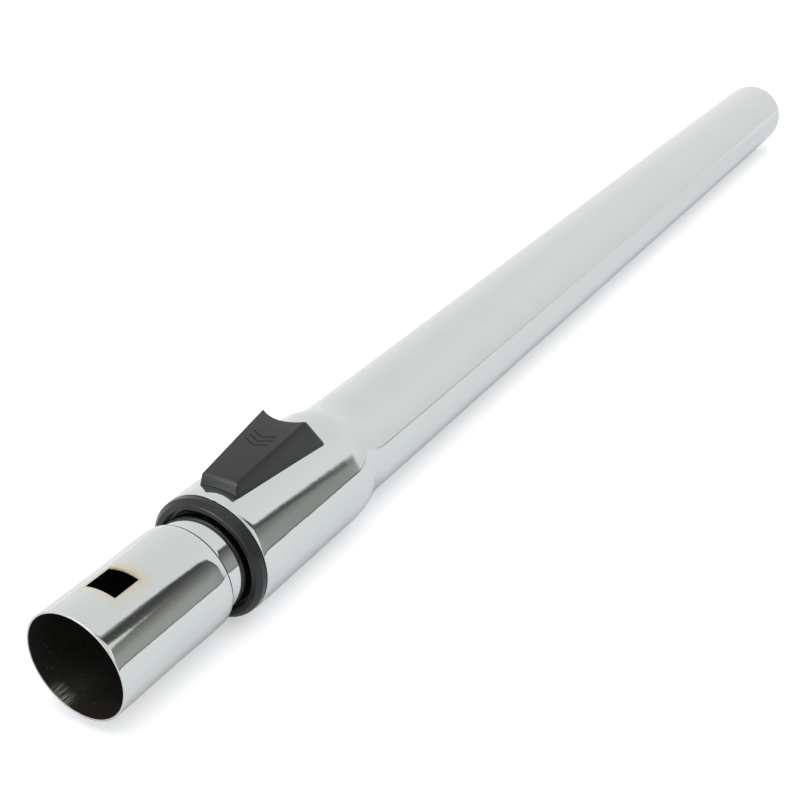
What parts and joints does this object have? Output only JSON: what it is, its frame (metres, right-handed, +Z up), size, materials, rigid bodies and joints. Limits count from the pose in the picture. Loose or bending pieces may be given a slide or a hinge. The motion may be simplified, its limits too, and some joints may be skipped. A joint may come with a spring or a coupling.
{
  "type": "telescopic vacuum wand",
  "caption": "Chromed telescopic suction tube with a swollen hose socket, latch window, bell housing, black collar ring and black slide button that frees the lock.",
  "frame": {"origin": "on the tube axis at the mouth of the hose socket", "axes": "+X along the tube to the floor-tool end, +Z up through the slide button and the latch window"},
  "size_m": [0.587, 0.04, 0.0479],
  "materials": {
    "chrome_plate": "bright chrome plate",
    "black_collar": "semi-gloss moulded plastic",
    "black_button": "satin moulded plastic",
    "sleeve_plastic": "moulded acetal",
    "carriage_plastic": "moulded acetal",
    "felt": "pressed felt",
    "seal_rubber": "smooth rubber",
    "hardened_steel": "ground steel",
    "spring_steel": "drawn wire"
  },
  "bodies": {
    "inner_body": {"inner_tube": "chrome_plate", "tail_guide_ring": "sleeve_plastic", "tail_seal_ring": "felt"},
    "outer_body": {"outer_tube": "chrome_plate", "collar_ring": "black_collar", "wiper_ring": "felt", "guide_sleeve": "sleeve_plastic", "sleeve_seal_ring": "seal_rubber", "return_spring_left": "spring_steel", "return_spring_right": "spring_steel"},
    "button_body": {"slide_button": "black_button", "lock_carriage": "carriage_plastic"},
    "lock_body": {"lock_roller": "hardened_steel", "roller_pin": "hardened_steel"}
  },
  "joints": [
    {"name": "tube_extend", "type": "slide", "parent": "inner_body", "child": "outer_body", "axis": [1, 0, 0], "range_m": [0, 0.36]},
    {"name": "button_slide", "type": "slide", "parent": "outer_body", "child": "button_body", "axis": [-1, 0, 0], "range_m": [0, 0.005], "stiffness_N_per_m": 900, "springref_m": -0.004, "deforming": ["return_spring_left", "return_spring_right"]},
    {"name": "lock_lift", "type": "slide", "parent": "outer_body", "child": "lock_body", "axis": [0, 0, 1], "range_m": [0, 0.0015]}
  ],
  "couplings": [
    {"joint": "lock_lift", "follows": "button_slide", "ratio": 0.3}
  ]
}
